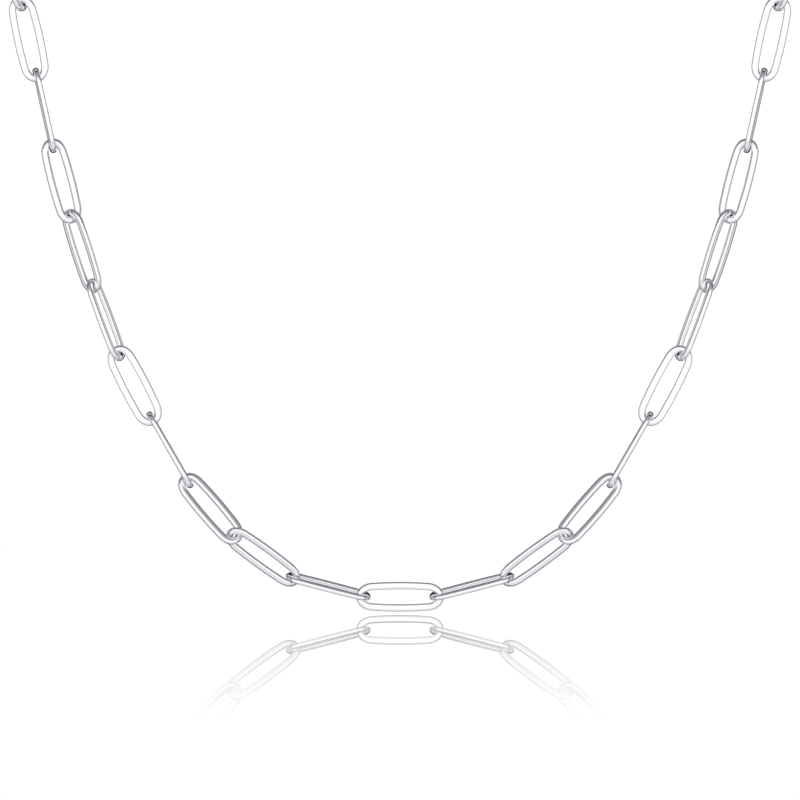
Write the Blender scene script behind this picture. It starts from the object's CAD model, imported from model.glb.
"""Paperclip chain necklace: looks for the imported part, as a Blender add-on that is run as a script.

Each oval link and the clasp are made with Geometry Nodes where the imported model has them. A pale
studio with a polished floor is built round the chain, in metres and in the part's own frame.
"""

import math

import bpy
import numpy as np
from mathutils import Matrix, Vector


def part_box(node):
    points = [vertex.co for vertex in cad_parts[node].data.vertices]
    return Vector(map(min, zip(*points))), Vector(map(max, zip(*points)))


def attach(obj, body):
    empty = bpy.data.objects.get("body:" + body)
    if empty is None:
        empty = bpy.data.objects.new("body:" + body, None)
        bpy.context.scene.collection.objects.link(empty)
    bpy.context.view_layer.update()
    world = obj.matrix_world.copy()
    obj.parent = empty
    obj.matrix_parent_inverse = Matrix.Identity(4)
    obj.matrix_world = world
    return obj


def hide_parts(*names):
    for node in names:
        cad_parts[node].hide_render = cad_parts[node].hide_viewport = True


bl_info = {
    "name": "Paperclip Chain Necklace",
    "version": (1, 0, 0),
    "blender": (4, 5, 0),
    "location": "3D View > Sidebar > Chain",
    "description": "Long oval wire links, a plain clasp and the studio that shows them",
    "category": "Add Mesh",
}

MM = 0.001

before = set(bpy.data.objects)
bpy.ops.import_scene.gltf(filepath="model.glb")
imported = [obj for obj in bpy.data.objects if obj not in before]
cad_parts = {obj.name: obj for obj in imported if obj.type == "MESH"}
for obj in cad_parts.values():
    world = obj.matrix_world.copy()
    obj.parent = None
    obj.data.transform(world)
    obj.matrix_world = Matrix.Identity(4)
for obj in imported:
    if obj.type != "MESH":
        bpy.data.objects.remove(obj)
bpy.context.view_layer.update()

LINK_NAMES = sorted(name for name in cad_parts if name.startswith("link_"))
BOTTOM_LINK = LINK_NAMES[len(LINK_NAMES) // 2]


def box_size(node):
    """Size of a node's box along X, Y and Z."""
    low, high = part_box(node)
    return high - low


# The bottom link and the clasp lie square to the axes, so their boxes give their sizes
LINK_BOX = box_size(BOTTOM_LINK)
CLASP_BOX = box_size("clasp")

# An oval's tip arc meets its shoulder arcs 4 across for 3 along, seen from its centre
TIP_ALONG = 0.6
TIP_ACROSS = 0.8
TIP_TURN = math.atan2(TIP_ACROSS, TIP_ALONG)

# Rings of faces on half a rail
RAIL_RINGS = 3

# Lean of the clasp's rails, which are straight to the eye but still need the arc of a rail
CLASP_RAIL_LEAN = math.radians(0.5)

# How far a made piece's box may be from its node's, for its flatter and faintly bowed rails
BOX_SLACK = 0.4 * MM

# Marks in the polish: faint waves, a haze of scratches, and nooks that the mop doesn't reach
WAVE_LENGTH = 1.5 * MM
WAVE_HEIGHT = 0.006 * MM
HAZE_WIDTH = 0.12 * MM
NOOK_SIZE = 0.25 * MM
NOOK_COLOUR = "#66676D"

# Radius of the floor, and how far from the bottom link it still mirrors
FLOOR_RADIUS = 6
MIRROR_REACH = 0.5

# Width, height, watts and tilt of the softbox, and its place from the bottom link
SOFTBOX_SIZE = (1.2, 0.5)
SOFTBOX_POWER = 0.4
SOFTBOX_TILT = math.radians(73)
SOFTBOX_PLACE = Vector((0, -1.6, 0.5))

# Brightness of the room, and how squarely behind the chain its white gap lies
ROOM_BRIGHTNESS = 1.08
GAP_START = 0.99

# Tones that the metal mirrors, by the angle from straight in front as a share of half a turn.
# A broad white light fills the front, and the room ends dark behind the chain.
TABLE_TONES = (
    (0.0, "#FFFFFF"), (0.08, "#FFFFFF"), (0.14, "#DCDDE1"), (0.46, "#E6E6EA"), (0.48, "#8D8E94"),
    (0.63, "#8D8E94"), (0.65, "#BDBEC4"), (0.73, "#BDBEC4"), (0.75, "#242529"), (1.0, "#242529"),
)
WALL_TONES = (
    (0.0, "#FFFFFF"), (0.31, "#FFFFFF"), (0.33, "#EDEDF0"), (0.365, "#E6E6EA"), (0.38, "#3C3D42"),
    (0.43, "#3C3D42"), (0.445, "#DFDFE3"), (0.56, "#D2D3D8"), (0.575, "#35363B"), (0.65, "#35363B"),
    (0.665, "#E6E6EA"), (0.735, "#E6E6EA"), (0.75, "#1E1F22"), (1.0, "#1E1F22"),
)
CEILING_TONES = (
    (0.0, "#FFFFFF"), (0.17, "#FFFFFF"), (0.23, "#C4C5CB"), (0.29, "#A3A4AA"), (0.44, "#8C8D93"),
    (0.46, "#2C2D31"), (0.55, "#2C2D31"), (0.57, "#B5B6BB"), (0.73, "#B5B6BB"), (0.75, "#242529"),
    (1.0, "#242529"),
)
# Heights, from -1 straight down to 1 straight up, between which the next table takes over
WALL_FADE = (-0.5, -0.33)
CEILING_FADE = (0.33, 0.46)


def linear(hex_colour):
    """Linear RGBA of an sRGB hex colour."""
    channels = [int(hex_colour[i:i + 2], 16) / 255 for i in (1, 3, 5)]
    return [c / 12.92 if c <= 0.04045 else ((c + 0.055) / 1.055) ** 2.4 for c in channels] + [1.0]


class ChainSizes(bpy.types.PropertyGroup):
    """Sizes of the links and the clasp."""

    link_length: bpy.props.FloatProperty(
        name="Link Length", description="Outer length of a link",
        default=LINK_BOX.x, min=0.001, unit="LENGTH")
    link_width: bpy.props.FloatProperty(
        name="Link Width", description="Outer width of a link",
        default=LINK_BOX.z, min=0.001, unit="LENGTH")
    wire: bpy.props.FloatProperty(
        name="Wire", description="Thickness of the wire at a link's tips",
        default=LINK_BOX.y, min=0.0001, unit="LENGTH")
    tip_roundness: bpy.props.FloatProperty(
        name="Tip Roundness", description="1 makes a link's tip a half circle as wide as the link",
        default=0.78, min=0.7, max=1)
    rail_width: bpy.props.FloatProperty(
        name="Rail Width", description="Width of the pressed wire on a link's rails",
        default=1.26 * MM, min=0.0001, unit="LENGTH")
    rail_thickness: bpy.props.FloatProperty(
        name="Rail Thickness", description="Thickness of the pressed wire on a link's rails",
        default=0.9 * MM, min=0.0001, unit="LENGTH")
    rail_lean: bpy.props.FloatProperty(
        name="Rail Lean", description="How far a faintly bowed rail leans in at its ends",
        default=math.radians(4), min=math.radians(0.2), max=math.radians(10), unit="ROTATION")
    squareness: bpy.props.FloatProperty(
        name="Squareness", description="2 leaves the pressed wire oval, and more makes its faces flatter",
        default=2.8, min=2, max=6)
    clasp_length: bpy.props.FloatProperty(
        name="Clasp Length", description="Outer length of the clasp with its eye",
        default=CLASP_BOX.x, min=0.001, unit="LENGTH")
    clasp_width: bpy.props.FloatProperty(
        name="Clasp Width", description="Outer width of the clasp's loop",
        default=CLASP_BOX.z, min=0.001, unit="LENGTH")
    clasp_wire: bpy.props.FloatProperty(
        name="Clasp Wire", description="Thickness of the clasp's wire",
        default=CLASP_BOX.y, min=0.0001, unit="LENGTH")
    loop_roundness: bpy.props.FloatProperty(
        name="Loop Roundness", description="1 makes the loop's ends half circles as wide as the loop",
        default=0.88, min=0.7, max=1)
    eye_width: bpy.props.FloatProperty(
        name="Eye Width", description="Outer width of the clasp's eye",
        default=4.6 * MM, min=0.001, unit="LENGTH")
    solder: bpy.props.FloatProperty(
        name="Solder", description="How far the eye is soldered into the loop",
        default=0.4 * MM, min=0, unit="LENGTH")
    rings: bpy.props.IntProperty(
        name="Rings", description="Rings of faces along a quarter of an oval", default=18, min=6, max=40)
    sides: bpy.props.IntProperty(
        name="Sides", description="Faces round the wire", default=28, min=8, max=64)


class ChainColours(bpy.types.PropertyGroup):
    """Colours and gloss of the metal and the studio."""

    silver: bpy.props.FloatVectorProperty(
        name="Silver", description="Colour of the polished links",
        subtype="COLOR", size=4, default=linear("#F6F6F8"), min=0, max=1)
    clasp_silver: bpy.props.FloatVectorProperty(
        name="Clasp Silver", description="Colour of the tumbled clasp",
        subtype="COLOR", size=4, default=linear("#EFEEEF"), min=0, max=1)
    floor_gloss: bpy.props.FloatProperty(
        name="Floor Gloss", description="How strongly the floor mirrors the chain where it nearly touches",
        subtype="FACTOR", default=1.0, min=0, max=1)


class ChainStudio(bpy.types.PropertyGroup):
    """Camera and floor."""

    view_width: bpy.props.FloatProperty(
        name="View Width", description="Width of the picture at the chain's front",
        default=134.2 * MM, unit="LENGTH")
    view_height: bpy.props.FloatProperty(
        name="View Height", description="From the bottom link's axis up to the middle of the picture",
        default=33.0 * MM, unit="LENGTH")
    distance: bpy.props.FloatProperty(
        name="Distance", description="From the camera to the chain's front", default=1.5, unit="LENGTH")
    floor_drop: bpy.props.FloatProperty(
        name="Floor Drop", description="From the bottom link's axis down to the floor",
        default=2.79 * MM, unit="LENGTH")


def add_node(tree, kind, settings=None, inputs=None):
    """A node with its settings, and its inputs set to values or linked to other nodes."""
    node = tree.nodes.new(kind)
    for name, value in (settings or {}).items():
        setattr(node, name, value)
    for name, value in (inputs or {}).items():
        if isinstance(value, bpy.types.NodeSocket):
            tree.links.new(value, node.inputs[name])
        else:
            node.inputs[name].default_value = value
    return node


# Formulas of an oval's centre line and of its wire. Each row is a result, a Math operation and
# what it works on. A quarter of the oval is a tip arc, a shoulder arc and half of a faintly
# bowed rail. Points are numbered round it, and turn is the angle of the line's outward normal
# from the length axis, which is a quarter turn in the middle of a rail.
LINE_FORMULAS = (
    ("half", "SUBTRACT", "width", "rail_width"),
    ("half", "MULTIPLY", "half", 0.5),
    ("tip", "MULTIPLY", "half", "roundness"),
    ("reach", "SUBTRACT", "length", "wire"),
    ("reach", "MULTIPLY", "reach", 0.5),
    ("tip_at", "SUBTRACT", "reach", "tip"),
    # The shoulder's radius lets the arcs meet smoothly where the rail leans in
    ("slope", "MULTIPLY", "lean", 0.5),
    ("slope", "TANGENT", "slope"),
    ("fall", "MULTIPLY_ADD", "tip", TIP_ALONG, "tip_at"),
    ("fall", "MULTIPLY", "fall", "slope"),
    ("shoulder", "MULTIPLY_ADD", "tip", -TIP_ACROSS, "half"),
    ("shoulder", "SUBTRACT", "shoulder", "fall"),
    ("divisor", "MULTIPLY_ADD", "slope", -TIP_ALONG, 1 - TIP_ACROSS),
    ("shoulder", "DIVIDE", "shoulder", "divisor"),
    ("wider", "SUBTRACT", "shoulder", "tip"),
    ("shoulder_at", "MULTIPLY_ADD", "wider", -TIP_ALONG, "tip_at"),
    ("shoulder_up", "MULTIPLY", "wider", -TIP_ACROSS),
    ("rail", "SINE", "lean"),
    ("rail", "DIVIDE", "shoulder_at", "rail"),
    ("rail", "ADD", "rail", "shoulder"),
    ("rail_up", "SUBTRACT", "half", "rail"),
    # Turn of each point, in even steps on the tip and shoulder and finer ones on the rail
    ("place", "ADD", "index", 0.5),
    ("rise", "PINGPONG", "place", "rings"),
    ("arc_rings", "SUBTRACT", "rings", RAIL_RINGS),
    ("arc_share", "DIVIDE", "rise", "arc_rings"),
    ("arc_share", "MINIMUM", "arc_share", 1),
    ("arc_turn", "SUBTRACT", math.pi / 2, "lean"),
    ("rail_share", "SUBTRACT", "rise", "arc_rings"),
    ("rail_share", "DIVIDE", "rail_share", RAIL_RINGS),
    ("rail_share", "MAXIMUM", "rail_share", 0),
    ("turn", "MULTIPLY", "arc_share", "arc_turn"),
    ("turn", "MULTIPLY_ADD", "rail_share", "lean", "turn"),
    ("on_rail", "GREATER_THAN", "rail_share", 0),
    ("past_tip", "GREATER_THAN", "turn", TIP_TURN),
    ("on_tip", "SUBTRACT", 1, "past_tip"),
    ("on_shoulder", "SUBTRACT", "past_tip", "on_rail"),
    ("bend", "MULTIPLY", "on_tip", "tip"),
    ("bend", "MULTIPLY_ADD", "on_shoulder", "shoulder", "bend"),
    ("bend", "MULTIPLY_ADD", "on_rail", "rail", "bend"),
    ("bend_at", "MULTIPLY", "on_tip", "tip_at"),
    ("bend_at", "MULTIPLY_ADD", "on_shoulder", "shoulder_at", "bend_at"),
    ("bend_up", "MULTIPLY", "on_shoulder", "shoulder_up"),
    ("bend_up", "MULTIPLY_ADD", "on_rail", "rail_up", "bend_up"),
    ("cosine", "COSINE", "turn"),
    ("sine", "SINE", "turn"),
    ("along", "MULTIPLY_ADD", "bend", "cosine", "bend_at"),
    ("across", "MULTIPLY_ADD", "bend", "sine", "bend_up"),
    # Which end and which side of the oval the point is on
    ("round", "DIVIDE", "place", "rings"),
    ("round", "MULTIPLY", "round", math.pi / 2),
    ("end", "COSINE", "round"),
    ("end", "SIGN", "end"),
    ("side", "SINE", "round"),
    ("side", "SIGN", "side"),
    ("x", "MULTIPLY", "along", "end"),
    ("y", "MULTIPLY", "across", "side"),
    ("out_x", "MULTIPLY", "cosine", "end"),
    ("out_y", "MULTIPLY", "sine", "side"),
    # The wire stays round at the tips and is pressed flatter towards the rails
    ("press", "MULTIPLY", "sine", "sine"),
    # Links rub at their tips, and the wear fades out where the shoulders begin
    ("rub", "DIVIDE", "turn", TIP_TURN),
    ("rub", "SUBTRACT", 1, "rub"),
    ("rub", "MAXIMUM", "rub", 0),
)
# The wire's section, from a point u, v of a unit circle with u outward. Its bulge grows from 2,
# an ellipse, to the squareness of the rails.
SECTION_FORMULAS = (
    ("bulge", "SUBTRACT", "squareness", 2),
    ("bulge", "MULTIPLY_ADD", "bulge", "press", 2),
    ("wide", "SUBTRACT", "rail_width", "wire"),
    ("wide", "MULTIPLY_ADD", "wide", "press", "wire"),
    ("thick", "SUBTRACT", "rail_thickness", "wire"),
    ("thick", "MULTIPLY_ADD", "thick", "press", "wire"),
    ("flat", "ABSOLUTE", "u"),
    ("flat", "POWER", "flat", "bulge"),
    ("upright", "ABSOLUTE", "v"),
    ("upright", "POWER", "upright", "bulge"),
    ("sum", "ADD", "flat", "upright"),
    ("root", "DIVIDE", -1, "bulge"),
    ("size", "POWER", "sum", "root"),
    ("size", "MULTIPLY", "size", 0.5),
    ("out", "MULTIPLY", "u", "wide"),
    ("out", "MULTIPLY", "out", "size"),
    ("up", "MULTIPLY", "v", "thick"),
    ("up", "MULTIPLY", "up", "size"),
)


def work_out(tree, formulas, known):
    """Adds the nodes of a table of formulas, and gives the known sockets with the results."""
    known = dict(known)
    for result, operation, *operands in formulas:
        inputs = {i: known.get(operand, operand) for i, operand in enumerate(operands)}
        known[result] = add_node(tree, "ShaderNodeMath", {"operation": operation}, inputs).outputs[0]
    return known


def new_tree(name, *inputs):
    """Empty Geometry Nodes tree with these inputs and one geometry output."""
    tree = bpy.data.node_groups.new(name, "GeometryNodeTree")
    for title, kind in inputs:
        tree.interface.new_socket(title, in_out="INPUT", socket_type="NodeSocket" + kind)
    tree.interface.new_socket("Geometry", in_out="OUTPUT", socket_type="NodeSocketGeometry")
    return tree, add_node(tree, "NodeGroupInput").outputs


def finish_tree(tree, shape, given):
    """Puts the shape in its place, and ends the tree with real faces and their material."""
    placed = add_node(tree, "GeometryNodeTransform", None, {
        "Geometry": shape, "Translation": given["Centre"], "Rotation": given["Rotation"]})
    smooth = add_node(tree, "GeometryNodeSetShadeSmooth", None, {"Geometry": placed.outputs[0]})
    real = add_node(tree, "GeometryNodeRealizeInstances", None, {"Geometry": smooth.outputs[0]})
    finished = add_node(tree, "GeometryNodeSetMaterial", None, {
        "Geometry": real.outputs[0], "Material": given["Material"]})
    add_node(tree, "NodeGroupOutput", None, {"Geometry": finished.outputs[0]})
    return tree


def store(tree, shape, name, kind, value):
    """Stores a value on each point of a shape, and gives the shape."""
    return add_node(tree, "GeometryNodeStoreNamedAttribute", {"data_type": kind, "domain": "POINT"}, {
        "Geometry": shape, "Name": name, "Value": value}).outputs[0]


def oval_wire_tree():
    """Geometry Nodes tree that bends a closed oval of wire, round at its tips and flatter beside."""
    tree, given = new_tree(
        "Oval Wire", ("Length", "Float"), ("Width", "Float"), ("Wire", "Float"), ("Rail Width", "Float"),
        ("Rail Thickness", "Float"), ("Rail Lean", "Float"), ("Squareness", "Float"),
        ("Roundness", "Float"), ("Rings", "Int"), ("Sides", "Int"), ("Centre", "Vector"),
        ("Rotation", "Vector"), ("Material", "Material"))
    index = add_node(tree, "GeometryNodeInputIndex").outputs[0]
    line = work_out(tree, LINE_FORMULAS, {
        "length": given["Length"], "width": given["Width"], "wire": given["Wire"],
        "rail_width": given["Rail Width"], "lean": given["Rail Lean"],
        "roundness": given["Roundness"], "rings": given["Rings"], "index": index,
    })
    point_count = add_node(tree, "ShaderNodeMath", {"operation": "MULTIPLY"}, {0: given["Rings"], 1: 4})
    ring = add_node(tree, "GeometryNodeCurvePrimitiveCircle", None, {"Resolution": point_count.outputs[0]})
    spot = add_node(tree, "ShaderNodeCombineXYZ", None, {"X": line["x"], "Y": line["y"]})
    outward = add_node(tree, "ShaderNodeCombineXYZ", None, {"X": line["out_x"], "Y": line["out_y"]})
    profile = add_node(tree, "GeometryNodeCurvePrimitiveCircle", None, {
        "Resolution": given["Sides"], "Radius": 1.0})
    around = add_node(tree, "GeometryNodeInputPosition")

    # What each ring and each side of the wire needs is stored on the two curves
    laid, sides = ring.outputs["Curve"], profile.outputs["Curve"]
    laid = store(tree, laid, "lay_spot", "FLOAT_VECTOR", spot.outputs[0])
    laid = store(tree, laid, "lay_outward", "FLOAT_VECTOR", outward.outputs[0])
    laid = store(tree, laid, "lay_press", "FLOAT", line["press"])
    laid = store(tree, laid, "rub", "FLOAT", line["rub"])
    sides = store(tree, sides, "lay_around", "FLOAT_VECTOR", around.outputs[0])
    tube = add_node(tree, "GeometryNodeCurveToMesh", None, {"Curve": laid, "Profile Curve": sides})

    stored = {
        name: add_node(
            tree, "GeometryNodeInputNamedAttribute", {"data_type": kind}, {"Name": name}).outputs[0]
        for name, kind in (("lay_spot", "FLOAT_VECTOR"), ("lay_outward", "FLOAT_VECTOR"),
                           ("lay_press", "FLOAT"), ("lay_around", "FLOAT_VECTOR"))}
    around_parts = add_node(tree, "ShaderNodeSeparateXYZ", None, {0: stored["lay_around"]}).outputs
    section = work_out(tree, SECTION_FORMULAS, {
        "u": around_parts["X"], "v": around_parts["Y"], "press": stored["lay_press"],
        "squareness": given["Squareness"], "wire": given["Wire"],
        "rail_width": given["Rail Width"], "rail_thickness": given["Rail Thickness"]})
    level = add_node(tree, "ShaderNodeVectorMath", {"operation": "SCALE"}, {
        0: stored["lay_outward"], "Scale": section["out"]})
    height = add_node(tree, "ShaderNodeCombineXYZ", None, {"Z": section["up"]})
    side_spot = add_node(tree, "ShaderNodeVectorMath", {"operation": "ADD"}, {
        0: stored["lay_spot"], 1: level.outputs[0]})
    skin_spot = add_node(tree, "ShaderNodeVectorMath", {"operation": "ADD"}, {
        0: side_spot.outputs[0], 1: height.outputs[0]})
    skin = add_node(tree, "GeometryNodeSetPosition", None, {
        "Geometry": tube.outputs[0], "Position": skin_spot.outputs[0]})
    clean = add_node(tree, "GeometryNodeRemoveAttribute", {"pattern_mode": "WILDCARD"}, {
        "Geometry": skin.outputs[0], "Name": "lay_*"})
    # The move to the section's place turns the tube inside out, and this turns it back
    outside = add_node(tree, "GeometryNodeFlipFaces", None, {"Mesh": clean.outputs[0]})
    return finish_tree(tree, outside.outputs[0], given)


def clasp_tree(oval):
    """Geometry Nodes tree that solders a round eye to the end of an oval loop."""
    tree, given = new_tree(
        "Closed Clasp", ("Length", "Float"), ("Width", "Float"), ("Wire", "Float"), ("Roundness", "Float"),
        ("Eye Width", "Float"), ("Solder", "Float"), ("Rings", "Int"), ("Sides", "Int"),
        ("Centre", "Vector"), ("Rotation", "Vector"), ("Material", "Material"))
    sizes = work_out(tree, (
        ("loop", "SUBTRACT", "length", "eye"),
        ("loop", "ADD", "loop", "solder"),
        ("loop_at", "SUBTRACT", "length", "loop"),
        ("loop_at", "MULTIPLY", "loop_at", 0.5),
        ("eye_at", "SUBTRACT", "eye", "length"),
        ("eye_at", "MULTIPLY", "eye_at", 0.5),
        ("eye_radius", "SUBTRACT", "eye", "wire"),
        ("eye_radius", "MULTIPLY", "eye_radius", 0.5),
        ("wire_radius", "MULTIPLY", "wire", 0.5),
        # The eye is shorter round than the loop, so it needs three quarters of the rings
        ("eye_rings", "MULTIPLY", "rings", 3),
    ), {
        "length": given["Length"], "eye": given["Eye Width"], "solder": given["Solder"],
        "wire": given["Wire"], "rings": given["Rings"],
    })
    loop_spot = add_node(tree, "ShaderNodeCombineXYZ", None, {"X": sizes["loop_at"]})
    loop = add_node(tree, "GeometryNodeGroup", {"node_tree": oval}, {
        "Length": sizes["loop"], "Width": given["Width"], "Wire": given["Wire"],
        "Rail Width": given["Wire"], "Rail Thickness": given["Wire"],
        "Rail Lean": CLASP_RAIL_LEAN, "Squareness": 2.0, "Roundness": given["Roundness"],
        "Rings": given["Rings"], "Sides": given["Sides"], "Centre": loop_spot.outputs[0]})
    eye_line = add_node(tree, "GeometryNodeCurvePrimitiveCircle", None, {
        "Resolution": sizes["eye_rings"], "Radius": sizes["eye_radius"]})
    eye_section = add_node(tree, "GeometryNodeCurvePrimitiveCircle", None, {
        "Resolution": given["Sides"], "Radius": sizes["wire_radius"]})
    eye_wire = add_node(tree, "GeometryNodeCurveToMesh", None, {
        "Curve": eye_line.outputs["Curve"], "Profile Curve": eye_section.outputs["Curve"]})
    eye_spot = add_node(tree, "ShaderNodeCombineXYZ", None, {"X": sizes["eye_at"]})
    eye = add_node(tree, "GeometryNodeTransform", None, {
        "Geometry": eye_wire.outputs[0], "Translation": eye_spot.outputs[0]})
    soldered = add_node(tree, "GeometryNodeMeshBoolean", {"operation": "UNION", "solver": "EXACT"})
    tree.links.new(loop.outputs[0], soldered.inputs["Mesh 2"])
    tree.links.new(eye.outputs[0], soldered.inputs["Mesh 2"])
    return finish_tree(tree, soldered.outputs["Mesh"], given)


def lie_of(node):
    """Middle of a node's surface, and its length, width and thickness axes as a turn."""
    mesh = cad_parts[node].data
    spots = np.empty(len(mesh.vertices) * 3)
    mesh.vertices.foreach_get("co", spots)
    corners = np.empty(len(mesh.loops), dtype=int)
    mesh.loops.foreach_get("vertex_index", corners)
    a, b, c = spots.reshape(-1, 3)[corners.reshape(-1, 3)].transpose(1, 0, 2)
    area = np.linalg.norm(np.cross(b - a, c - a), axis=1) / 2
    middle = (area[:, None] * (a + b + c)).sum(0) / (3 * area.sum())
    a, b, c = a - middle, b - middle, c - middle
    moments = sum((area[:, None] * p).T @ p for p in (a, b, c, a + b + c))
    axes = np.linalg.eigh(moments)[1]
    length, width = Vector(axes[:, 2]), Vector(axes[:, 1])
    turn = Matrix((length, width, length.cross(width))).transposed()
    return Vector(middle), turn


def make_piece(name, tree, inputs, node):
    """Makes a mesh from a Geometry Nodes tree, which stands for a node and rides with it."""
    piece = bpy.data.objects.new(name, bpy.data.meshes.new(name))
    bpy.context.scene.collection.objects.link(piece)
    nodes = piece.modifiers.new("Maker", "NODES")
    nodes.node_group = tree
    for socket in tree.interface.items_tree:
        if socket.in_out == "INPUT":
            nodes[socket.identifier] = inputs[socket.name]
    evaluated = piece.evaluated_get(bpy.context.evaluated_depsgraph_get())
    mesh = bpy.data.meshes.new_from_object(evaluated)
    piece.modifiers.clear()
    piece.data = mesh
    mesh.name = name
    low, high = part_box(node)
    spots = np.array([v.co for v in mesh.vertices])
    if not len(spots) or max(abs(spots.min(0) - low).max(), abs(spots.max(0) - high).max()) > BOX_SLACK:
        raise RuntimeError(f"{name} doesn't fill the place of {node}")
    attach(piece, "root")
    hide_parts(node)


def polished_silver(name, colour, roughness, dulling):
    """Sterling silver under a thin rhodium plate, polished to a mirror.

    The plate keeps it white to the edge. Hand polishing leaves faint waves that make reflections
    swim a little, and a haze of scratches that is drawn wider than life so that it shows. The
    tips, where links rub, are duller, and the nooks that no mop reaches are darker.
    """
    material = bpy.data.materials.new(name)
    material.use_nodes = True
    tree = material.node_tree
    tree.nodes.clear()
    spot = add_node(tree, "ShaderNodeTexCoord").outputs["Object"]
    waves = add_node(tree, "ShaderNodeTexNoise", None, {
        "Vector": spot, "Scale": 1 / WAVE_LENGTH, "Detail": 1.0, "Roughness": 0.4})
    haze = add_node(tree, "ShaderNodeTexNoise", None, {
        "Vector": spot, "Scale": 1 / HAZE_WIDTH, "Detail": 2.0})
    gloss = add_node(tree, "ShaderNodeMapRange", None, {
        "Value": haze.outputs[0], "From Min": 0.35, "From Max": 0.7,
        "To Min": roughness * 0.7, "To Max": roughness * 1.4})
    rub = add_node(tree, "ShaderNodeAttribute", {"attribute_name": "rub"}).outputs["Fac"]
    worn = add_node(tree, "ShaderNodeMath", {"operation": "MULTIPLY_ADD", "use_clamp": True}, {
        0: rub, 1: dulling, 2: gloss.outputs[0]})
    nook = add_node(tree, "ShaderNodeAmbientOcclusion", {"samples": 8}, {"Distance": NOOK_SIZE})
    tarnish = add_node(tree, "ShaderNodeMapRange", None, {
        "Value": nook.outputs["AO"], "From Min": 0.1, "From Max": 0.5, "To Min": 0.0, "To Max": 1.0})
    tone = add_node(tree, "ShaderNodeMix", {"data_type": "RGBA"}, {
        "Factor": tarnish.outputs[0], "A": linear(NOOK_COLOUR), "B": colour})
    bump = add_node(tree, "ShaderNodeBump", None, {
        "Height": waves.outputs[0], "Strength": 1.0, "Distance": WAVE_HEIGHT})
    metal = add_node(tree, "ShaderNodeBsdfPrincipled", None, {
        "Base Color": tone.outputs["Result"], "Metallic": 1.0, "Roughness": worn.outputs[0],
        "Normal": bump.outputs[0]})
    add_node(tree, "ShaderNodeOutputMaterial", None, {"Surface": metal.outputs[0]})
    return material


def floor_material(colours, gloss_centre):
    """White cast acrylic, flame polished, under even light.

    It shows as pure white, and mirrors the chain sharply close by. The mirroring fades with the
    distance from the bottom link, as the reflection in a lit white panel does.
    """
    material = bpy.data.materials.new("White Acrylic")
    material.use_nodes = True
    tree = material.node_tree
    tree.nodes.clear()
    spot = add_node(tree, "ShaderNodeTexCoord").outputs["Object"]
    away = add_node(tree, "ShaderNodeVectorMath", {"operation": "DISTANCE"}, {0: spot, 1: gloss_centre})
    share = work_out(tree, (
        ("near", "MULTIPLY_ADD", "away", -1 / MIRROR_REACH, 1),
        ("near", "MAXIMUM", "near", 0),
        ("share", "MULTIPLY", "near", "fresnel"),
        ("share", "MULTIPLY", "share", colours.floor_gloss),
    ), {
        "away": away.outputs["Value"],
        "fresnel": add_node(tree, "ShaderNodeFresnel", None, {"IOR": 1.49}).outputs[0],
    })
    glow = add_node(tree, "ShaderNodeEmission", None, {"Color": linear("#FFFFFF"), "Strength": 1.0})
    mirror = add_node(tree, "ShaderNodeBsdfGlossy", None, {"Color": linear("#FFFFFF"), "Roughness": 0.01})
    both = add_node(tree, "ShaderNodeMixShader", None, {
        0: share["share"], 1: glow.outputs[0], 2: mirror.outputs[0]})
    add_node(tree, "ShaderNodeOutputMaterial", None, {"Surface": both.outputs[0]})
    return material


def tone_ramp(tree, share, tones):
    """Colour that a table of tones, each a share and a hex colour, gives for this share."""
    ramp = add_node(tree, "ShaderNodeValToRGB", None, {"Fac": share})
    stops = ramp.color_ramp.elements
    stops.remove(stops[1])
    stops[0].color = linear(tones[0][1])
    for place, hex_colour in tones[1:]:
        stops.new(place).color = linear(hex_colour)
    return ramp.outputs["Color"]


def studio_world():
    """Pale room with a broad white light in front, which the camera sees as plain white.

    Straight behind the chain is a white gap, so that the floor mirrors white there, as it does
    all round.
    """
    world = bpy.data.worlds.new("Pale Room")
    world.use_nodes = True
    tree = world.node_tree
    tree.nodes.clear()
    towards = add_node(tree, "ShaderNodeTexCoord").outputs["Generated"]
    parts = add_node(tree, "ShaderNodeSeparateXYZ", None, {0: towards}).outputs
    room = work_out(tree, (
        ("front", "MULTIPLY", "y", -1),
        ("angle", "ARCCOSINE", "front"),
        ("share", "DIVIDE", "angle", math.pi),
        ("gap", "GREATER_THAN", "y", GAP_START),
        ("plain", "MAXIMUM", "gap", "seen"),
    ), {
        "y": parts["Y"],
        "seen": add_node(tree, "ShaderNodeLightPath").outputs["Is Camera Ray"],
    })
    tone = tone_ramp(tree, room["share"], TABLE_TONES)
    for tones, (low, high) in ((WALL_TONES, WALL_FADE), (CEILING_TONES, CEILING_FADE)):
        height = add_node(tree, "ShaderNodeMapRange", {"interpolation_type": "SMOOTHSTEP"}, {
            "Value": parts["Z"], "From Min": low, "From Max": high})
        tone = add_node(tree, "ShaderNodeMix", {"data_type": "RGBA"}, {
            "Factor": height.outputs["Result"], "A": tone,
            "B": tone_ramp(tree, room["share"], tones)}).outputs["Result"]
    shown = add_node(tree, "ShaderNodeMix", {"data_type": "RGBA"}, {
        "Factor": room["plain"], "A": tone, "B": linear("#FFFFFF")})
    glow = add_node(tree, "ShaderNodeBackground", None, {
        "Color": shown.outputs["Result"], "Strength": ROOM_BRIGHTNESS})
    add_node(tree, "ShaderNodeOutputWorld", None, {"Surface": glow.outputs[0]})
    return world


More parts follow.
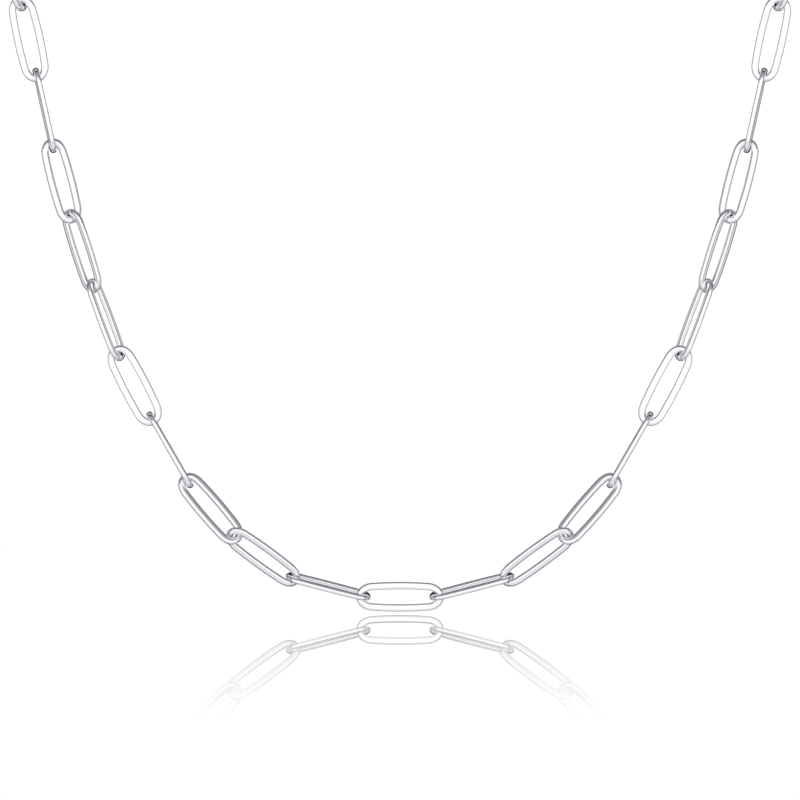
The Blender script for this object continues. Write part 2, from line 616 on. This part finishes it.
class CHAIN_OT_links(bpy.types.Operator):
    """Bend the oval links, each where its node is"""

    bl_idname = "paperclip_chain.links"
    bl_label = "Make Links"

    def execute(self, context):
        sizes, colours = context.scene.chain_sizes, context.scene.chain_colours
        silver = polished_silver("Rhodium Plated Silver", colours.silver, roughness=0.05, dulling=0.06)
        tree = oval_wire_tree()
        for node in LINK_NAMES:
            centre, turn = lie_of(node)
            make_piece(f"oval_{node}", tree, {
                "Length": sizes.link_length, "Width": sizes.link_width, "Wire": sizes.wire,
                "Rail Width": sizes.rail_width, "Rail Thickness": sizes.rail_thickness,
                "Rail Lean": sizes.rail_lean, "Squareness": sizes.squareness,
                "Roundness": sizes.tip_roundness, "Rings": sizes.rings, "Sides": sizes.sides,
                "Centre": centre, "Rotation": turn.to_euler(), "Material": silver,
            }, node)
        return {"FINISHED"}


class CHAIN_OT_clasp(bpy.types.Operator):
    """Solder the plain clasp of a loop and an eye at the nape"""

    bl_idname = "paperclip_chain.clasp"
    bl_label = "Make Clasp"

    def execute(self, context):
        sizes, colours = context.scene.chain_sizes, context.scene.chain_colours
        silver = polished_silver("Tumbled Silver", colours.clasp_silver, roughness=0.09, dulling=0.04)
        low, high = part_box("clasp")
        make_piece("closed_clasp", clasp_tree(bpy.data.node_groups["Oval Wire"]), {
            "Length": sizes.clasp_length, "Width": sizes.clasp_width, "Wire": sizes.clasp_wire,
            "Roundness": sizes.loop_roundness, "Eye Width": sizes.eye_width, "Solder": sizes.solder,
            "Rings": sizes.rings, "Sides": sizes.sides,
            "Centre": (low + high) / 2, "Rotation": (math.pi / 2, 0, 0), "Material": silver,
        }, "clasp")
        return {"FINISHED"}


class CHAIN_OT_studio(bpy.types.Operator):
    """Lay the polished floor and set the pale room, the softbox and the camera"""

    bl_idname = "paperclip_chain.studio"
    bl_label = "Make Studio"

    def execute(self, context):
        scene = context.scene
        studio, colours = scene.chain_studio, scene.chain_colours
        low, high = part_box(BOTTOM_LINK)
        bottom = (low + high) / 2
        floor_middle = bottom - Vector((0, 0, studio.floor_drop))

        bpy.ops.mesh.primitive_circle_add(vertices=64, radius=FLOOR_RADIUS, fill_type="NGON")
        floor = context.object
        floor.name = "floor"
        floor.data.transform(Matrix.Translation(floor_middle))
        floor.location = (0, 0, 0)
        floor.data.materials.append(floor_material(colours, floor_middle))
        floor.visible_glossy = False
        scene.world = studio_world()

        softbox = bpy.data.objects.new("softbox", bpy.data.lights.new("softbox", "AREA"))
        softbox.data.shape = "RECTANGLE"
        softbox.data.size, softbox.data.size_y = SOFTBOX_SIZE
        softbox.data.energy = SOFTBOX_POWER
        softbox.location = bottom + SOFTBOX_PLACE
        softbox.rotation_euler = (SOFTBOX_TILT, 0, 0)
        scene.collection.objects.link(softbox)

        camera = bpy.data.objects.new("camera", bpy.data.cameras.new("camera"))
        camera.data.lens = camera.data.sensor_width * studio.distance / studio.view_width
        camera.location = bottom + Vector((0, -studio.distance, studio.view_height))
        camera.rotation_euler = (math.pi / 2, 0, 0)
        scene.collection.objects.link(camera)
        scene.camera = camera
        scene.view_settings.view_transform = "Standard"
        return {"FINISHED"}


class CHAIN_PT_panel(bpy.types.Panel):
    """Buttons and settings of the chain in the 3D view's sidebar"""

    bl_label = "Paperclip Chain"
    bl_idname = "CHAIN_PT_panel"
    bl_space_type = "VIEW_3D"
    bl_region_type = "UI"
    bl_category = "Chain"

    def draw(self, context):
        column = self.layout.column()
        for operator in OPERATORS:
            column.operator(operator.bl_idname)
        for name in GROUPS:
            group = getattr(context.scene, name)
            for setting in group.bl_rna.properties:
                if setting.identifier not in ("rna_type", "name"):
                    column.prop(group, setting.identifier)


GROUPS = {"chain_sizes": ChainSizes, "chain_colours": ChainColours, "chain_studio": ChainStudio}
OPERATORS = (CHAIN_OT_links, CHAIN_OT_clasp, CHAIN_OT_studio)
CLASSES = (*GROUPS.values(), *OPERATORS, CHAIN_PT_panel)


def register():
    for cls in CLASSES:
        bpy.utils.register_class(cls)
    for name, group in GROUPS.items():
        setattr(bpy.types.Scene, name, bpy.props.PointerProperty(type=group))


def unregister():
    for name in GROUPS:
        delattr(bpy.types.Scene, name)
    for cls in reversed(CLASSES):
        bpy.utils.unregister_class(cls)


def main():
    register()
    bpy.ops.paperclip_chain.links()
    bpy.ops.paperclip_chain.clasp()
    bpy.ops.paperclip_chain.studio()


if __name__ == "__main__":
    main()
